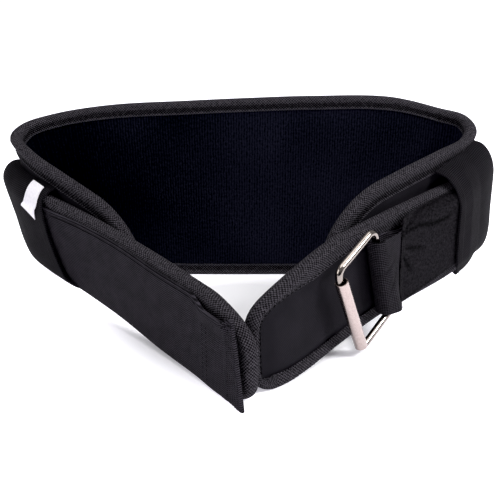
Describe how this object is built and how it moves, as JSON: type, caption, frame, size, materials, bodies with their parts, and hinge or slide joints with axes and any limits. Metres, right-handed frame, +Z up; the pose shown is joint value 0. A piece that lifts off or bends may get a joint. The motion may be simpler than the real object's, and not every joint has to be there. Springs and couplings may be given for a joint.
{
  "type": "weightlifting belt",
  "caption": "Padded nylon lifting belt standing open on its edge: tall back panel, narrower outer belt under keeper loops, webbing strap and steel roller buckle.",
  "frame": {"origin": "on the floor, under the middle of the belt's bounding box", "axes": "+X to the belt's right side as seen from its buckle, +Y towards the tall back panel, +Z up from the edge that it stands on"},
  "size_m": [0.3887, 0.2475, 0.1505],
  "materials": {
    "nylon": "matt black woven nylon",
    "lining": "very dark navy ribbed knit",
    "tape": "matt black-grey twill tape",
    "webbing": "ribbed black nylon webbing with a slight sheen",
    "pile": "fuzzy black loop pile",
    "satin": "white satin",
    "steel": "polished plated steel",
    "roller": "satin steel"
  },
  "bodies": {
    "belt": {"back_panel": "nylon", "back_lining": "lining", "panel_binding": "tape", "belt_pad": "nylon", "pad_binding": "tape", "webbing": "webbing", "pile_patch": "pile", "loop_left": "webbing", "loop_right": "webbing", "care_label": "satin"},
    "ring": {"buckle_ring": "steel"},
    "roller": {"buckle_roller": "roller"}
  },
  "joints": [
    {"name": "buckle_swing", "type": "hinge", "parent": "belt", "child": "ring", "pos_m": [0.09339, -0.03149, 0.05354], "axis": [-0.2979, -0.2864, 0.9106], "range_deg": [-7, 6]},
    {"name": "roller_spin", "type": "hinge", "parent": "ring", "child": "roller", "pos_m": [0.06891, -0.06139, 0.03361], "axis": [-0.2979, -0.2864, 0.9106], "continuous": true}
  ]
}
